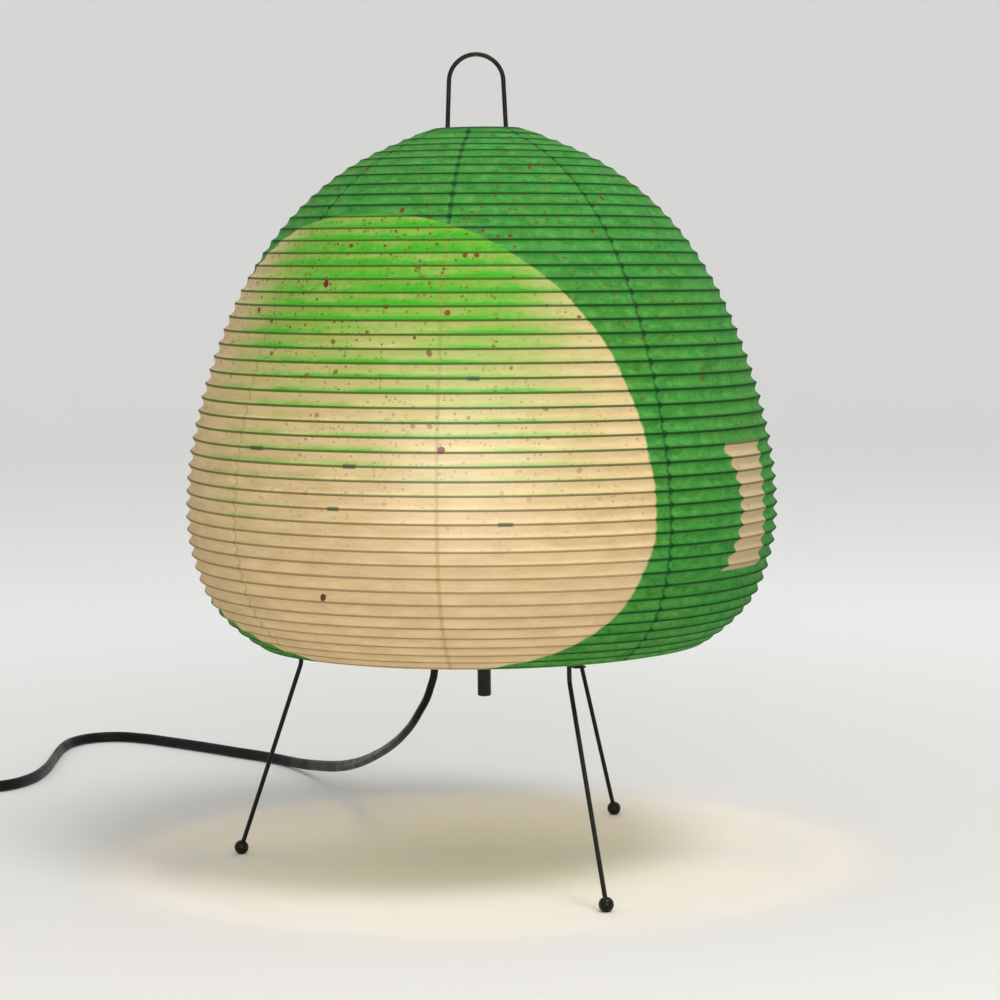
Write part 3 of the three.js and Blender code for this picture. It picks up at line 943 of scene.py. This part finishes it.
def cord_axes(points):
    """The wide way of the flat cord: back from the front where it hangs, and upright where it lies."""
    ahead = directions(points)
    run = np.concatenate([[0], np.cumsum(np.linalg.norm(np.diff(points, axis=0), axis=1))])
    lies = eased(np.clip((run - 0.10) / 0.16, 0, 1)[:, None])
    left = (run[-1] - run)[:, None]
    flat = eased(1 - np.clip(left / 0.05, 0, 1))

    def square(vectors):
        return vectors - ahead * (vectors * ahead).sum(1, keepdims=True)

    hanging = unit(square(np.tile((0.0, 1.0, 0.0), (len(points), 1))))
    hanging[(hanging[:, 2] < 0)] *= -1
    upright = unit(square(np.tile((0.0, 0.0, 1.0), (len(points), 1))))
    sideways = unit(square(np.tile((-1.0, 0.0, 0.0), (len(points), 1)) + 1e-6))
    wide = unit(square(hanging * (1 - lies) + upright * lies))
    wide = unit(square(wide * (1 - flat) + sideways * flat))
    return wide, np.cross(ahead, wide)


def lead(material, with_pieces):
    points = cord_line()
    wide, thick = cord_axes(points)
    vertices, faces = swept(points, wide, thick, cord_section())
    piece = add_mesh("lead", vertices, [f[::-1] for f in faces], "lamp", material)
    sharpen(piece, 60)
    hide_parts("cord_lead", "cord_coil", "cord_tail")
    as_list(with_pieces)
    return piece


# ---------- the coil's tie ----------
TIE_DIRECTION = 60.0
TIE_INNER = 25.9
TIE_OUTER = 41.1
TIE_TOP = 12.8
TIE_HALF_WIDTH = 2.5
TIE_HALF_THICK = 0.45


def tie(material):
    """A soft band over the coil's windings, open at the floor."""
    def at(reach, z):
        return np.array((reach, 0.0, z)) * MM

    foot_in, foot_out = at(TIE_INNER, 0.5), at(TIE_OUTER, 0.5)
    top_in, top_out = at(TIE_INNER, TIE_TOP), at(TIE_OUTER, TIE_TOP)
    points = [foot_in, *rounded_corner(foot_in, top_in, top_out, 4 * MM),
              *rounded_corner(top_in, top_out, foot_out, 4 * MM), foot_out]
    turn = np.array(Matrix.Rotation(radians(TIE_DIRECTION), 3, "Z"))
    points = np.array(points) @ turn.T + metres((*COIL_CENTRE, 0.0))
    points = even_steps(points, 1.2 * MM)
    across, up = carried_axes(points, turn @ np.array((0.0, 1.0, 0.0)))
    ridge = TIE_HALF_THICK * 0.45
    section = [(-TIE_HALF_THICK, -TIE_HALF_WIDTH * 0.9), (-ridge, -TIE_HALF_WIDTH), (ridge, -TIE_HALF_WIDTH),
               (TIE_HALF_THICK, -TIE_HALF_WIDTH * 0.9), (TIE_HALF_THICK, TIE_HALF_WIDTH * 0.9),
               (ridge, TIE_HALF_WIDTH), (-ridge, TIE_HALF_WIDTH), (-TIE_HALF_THICK, TIE_HALF_WIDTH * 0.9)]
    vertices, faces = swept(points, across, up, metres(section))
    piece = add_mesh("tie", vertices, faces, "lamp", material)
    sharpen(piece, 50)
    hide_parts("cord_tie")
    return piece


# ---------- the plug ----------
PLUG_START = (-346.0, 266.1, 6.2)
PLUG_NECK = 20.0
PLUG_BODY = 24.0
BLADE_START = 44.5
BLADE_LENGTH = 17.0
BLADE_HALF_WIDTH = 3.15
BLADE_THICK = 1.5
BLADE_APART = 12.7


def lofted(name, stations, material, node, sides=56):
    """A solid along +Y through rounded sections: (run, half width, half height, squareness) in mm."""
    rows = []
    for run, wide, high, squareness in stations:
        row = []
        for i in range(sides):
            angle = 2 * math.pi * i / sides
            x, z = math.cos(angle), math.sin(angle)
            stretch = (abs(x) ** squareness + abs(z) ** squareness) ** (-1 / squareness)
            row.append((PLUG_START[0] + wide * x * stretch, PLUG_START[1] + run,
                        PLUG_START[2] + high * z * stretch))
        rows.append(row)
    vertices = metres([v for row in rows for v in row])
    faces = []
    for k in range(len(rows) - 1):
        for i in range(sides):
            j = (i + 1) % sides
            faces.append([k * sides + i, (k + 1) * sides + i, (k + 1) * sides + j, k * sides + j])
    faces.append(list(range(sides)))
    faces.append(list(range((len(rows) - 1) * sides, len(rows) * sides))[::-1])
    piece = add_mesh(name, vertices, faces, "lamp", material)
    sharpen(piece, 40)
    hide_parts(node)
    return piece


def plug_stations():
    stations = [(0.0, 3.2, 2.4, 2.4)]
    rings = 5
    for k in range(rings):
        run = PLUG_NECK * k / rings
        wide = 3.4 + 1.1 * k / rings
        high = 2.6 + 1.2 * k / rings
        stations += [(run + 0.3, wide, high, 2.4), (run + 2.5, wide + 0.1, high + 0.1, 2.4),
                     (run + 2.8, wide - 0.5, high - 0.5, 2.4), (run + 3.7, wide - 0.5, high - 0.5, 2.4)]
    stations += [(PLUG_NECK, 4.6, 3.9, 2.6), (PLUG_NECK + 2.0, 6.2, 4.6, 3.0),
                 (PLUG_NECK + 4.4, 9.2, 5.6, 3.6), (PLUG_NECK + 5.4, 9.9, 5.9, 4.2)]
    for k in range(4):
        run = PLUG_NECK + 6.6 + 3.2 * k
        stations += [(run, 9.9, 5.9, 4.4), (run + 0.5, 9.1, 5.9, 4.4), (run + 1.6, 9.1, 5.9, 4.4),
                     (run + 2.1, 9.9, 5.9, 4.4)]
    end = PLUG_NECK + PLUG_BODY
    stations += [(end - 2.6, 9.95, 5.95, 5.0), (end - 0.6, 9.95, 5.95, 5.0), (end - 0.1, 9.5, 5.5, 5.0)]
    return stations


def blade(name, side, material):
    """A flat pin with a hole near its bevelled tip."""
    hole_at, hole = 12.6, 1.55
    half, tip, bevel = BLADE_HALF_WIDTH, BLADE_LENGTH, 1.2
    corners = [(-half, 0), (half, 0), (half, tip - bevel), (half - bevel, tip),
               (bevel - half, tip), (-half, tip - bevel)]
    to_corners = [math.atan2(y - hole_at, x) for x, y in corners]
    evenly = [radians(7.5 + 15 * i) - math.pi for i in range(24)]
    angles = sorted(to_corners + evenly)
    outer = [ray_to_outline(corners, (0.0, hole_at), angle) for angle in angles]
    inner = [(hole * math.cos(a), hole_at + hole * math.sin(a)) for a in angles]
    count = len(angles)
    x0 = PLUG_START[0] + side * BLADE_APART / 2
    vertices = []
    for x in (x0 - BLADE_THICK / 2, x0 + BLADE_THICK / 2):
        for loop in (outer, inner):
            vertices += [(x, PLUG_START[1] + BLADE_START + run, PLUG_START[2] + w) for w, run in loop]
    faces = []
    for i in range(count):
        j = (i + 1) % count
        faces.append([i, j, count + j, count + i])
        faces.append([2 * count + j, 2 * count + i, 3 * count + i, 3 * count + j])
        faces.append([j, i, 2 * count + i, 2 * count + j])
        faces.append([count + i, count + j, 3 * count + j, 3 * count + i])
    piece = add_mesh(name, metres(vertices), faces, "lamp", material, smooth=False)
    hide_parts(f"plug_{name}")
    return piece


def ray_to_outline(corners, start, angle):
    ahead = (math.cos(angle), math.sin(angle))
    best = None
    for (ax, ay), (bx, by) in zip(corners, corners[1:] + corners[:1]):
        ex, ey = bx - ax, by - ay
        cross = ahead[0] * ey - ahead[1] * ex
        if abs(cross) < 1e-9:
            continue
        far = ((ax - start[0]) * ey - (ay - start[1]) * ex) / cross
        along = ((ax - start[0]) * ahead[1] - (ay - start[1]) * ahead[0]) / cross
        if far > 0 and -1e-6 <= along <= 1 + 1e-6 and (best is None or far < best):
            best = far
    return (start[0] + ahead[0] * best, start[1] + ahead[1] * best)


# ---------- the studio ----------
STAGE_RADIUS = 3.2
STAGE_CURVE = 1.6
STAGE_HEIGHT = 4.0
STAGE_SEGMENTS = 96


def studio_material():
    paint = Paint("studio", roughness=0.9)
    patches = paint.noise(0.6, 2)
    split = paint.node("SeparateXYZ")
    paint.join(paint.place, split.inputs[0])
    x, y, _ = split.outputs
    away = paint.math("SQRT", paint.add(paint.times(x, x), paint.times(y, y)))
    # Painted light: the floor further out and the wall are lighter than the floor near the lamp, in place of
    # more light falling on the wall.
    near = paint.mix(patches, srgb(219, 217, 214), srgb(223, 221, 218))
    paint.set("Base Color", paint.mix(paint.between(away, 0.2, 1.1), near, srgb(247, 247, 246)))
    return paint.material


def studio():
    """A pale floor that curves up into a round wall."""
    profile = [(0.0, 0.0)] + [(STAGE_RADIUS * k / 8, 0.0) for k in range(1, 9)]
    for i in range(1, 25):
        angle = radians(90 * i / 24)
        profile.append((STAGE_RADIUS + STAGE_CURVE * math.sin(angle), STAGE_CURVE * (1 - math.cos(angle))))
    profile.append((STAGE_RADIUS + STAGE_CURVE, STAGE_HEIGHT))
    vertices, faces = turned_rings(profile, STAGE_SEGMENTS)
    facing_in = [f[::-1] for f in faces]
    floor = add_mesh("studio", vertices, facing_in, None, studio_material())


def area_light(name, place, aim, size, power, colour=(1, 1, 1)):
    data = bpy.data.lights.new(name, "AREA")
    data.shape = "DISK"
    data.size = size
    data.energy = power
    data.color = colour
    lamp = bpy.data.objects.new(name, data)
    turn = (Vector(aim) - Vector(place)).to_track_quat("-Z", "Y")
    lamp.matrix_world = Matrix.Translation(place) @ turn.to_matrix().to_4x4()
    bpy.context.scene.collection.objects.link(lamp)


def lights():
    world = bpy.data.worlds.new("soft_sky")
    bpy.context.scene.world = world
    world.use_nodes = True
    background = world.node_tree.nodes["Background"]
    background.inputs["Color"].default_value = (1.0, 1.0, 1.0, 1.0)
    background.inputs["Strength"].default_value = 0.68
    area_light("key", (0.63, -0.78, 2.0), (0, 0, 0.1), 0.8, 22)
    area_light("fill", (0.25, -2.4, 0.8), (0, 0, 0.2), 1.4, 18)


def set_view():
    view = bpy.context.scene.view_settings
    view.view_transform = "Standard"
    view.look = "None"
    view.exposure = 0.0
    view.gamma = 1.0


# ---------- the whole ----------
def dress(nodes, material):
    """Gives carried-over CAD nodes a material."""
    for name in nodes:
        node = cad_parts[name]
        node.data.materials.clear()
        node.data.materials.append(material)


def build():
    make_camera()
    wire_black = black_wire()
    plastic = black_plastic()
    sheath = cord_sheath()
    nickel = metal("nickel", (150, 148, 142), (205, 203, 198), 0.2, 0.35, (1, 1, 8))
    plug = lofted("plug", plug_stations(), plastic, "plug_body")
    blades = [blade("blade_a", -1, nickel), blade("blade_b", 1, nickel)]
    lead(sheath, [plug, *blades, tie(plastic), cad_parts["cord_grip"]])
    paper_shade(ShadePaint().material)
    wood = bamboo()
    bamboo_rib(wood)
    hoop("hoop_top", "top_ring", 16.6, 1.5, 323.2, wood)
    hoop("hoop_bottom", "bottom_ring", 90.6, 1.5, 97.9, wood)
    hoop("hoop_frame", "frame_ring", 79.2, 1.2, 96.4, wire_black)
    handle(wire_black)
    for name, ring_angle, foot_angle, foot_radius in LEGS:
        leg(name, ring_angle, foot_angle, foot_radius, wire_black)
        foot_ball(name, foot_angle, foot_radius, wire_black)
    turned("knob", [(0, 72.7), (2.3, 72.7), (2.75, 72.9), (3.0, 73.3), (3.0, 87.3), (2.7, 87.6), (0, 87.6)],
           plastic, "switch_knob", "switch", segments=48)
    steel = metal("zinc_steel", (120, 120, 118), (190, 190, 186), 0.3, 0.5)
    brass = metal("brass", (150, 112, 52), (200, 160, 88), 0.25, 0.45, (1, 1, 8))
    dress(["cross_strip"], steel)
    dress(["ring_clip_left", "ring_clip_front", "ring_clip_back"], wire_black)
    dress(["holder_base", "holder_body", "cord_grip"], plastic)
    dress(["screw_shell", "centre_contact", "switch_stem", "bulb_tip"], brass)
    dress(["bulb_cap"], nickel)
    dress(["bulb_collar"], bulb_housing())
    dress(["bulb_globe"], bulb_glass())
    studio()
    lights()
    set_view()


build()
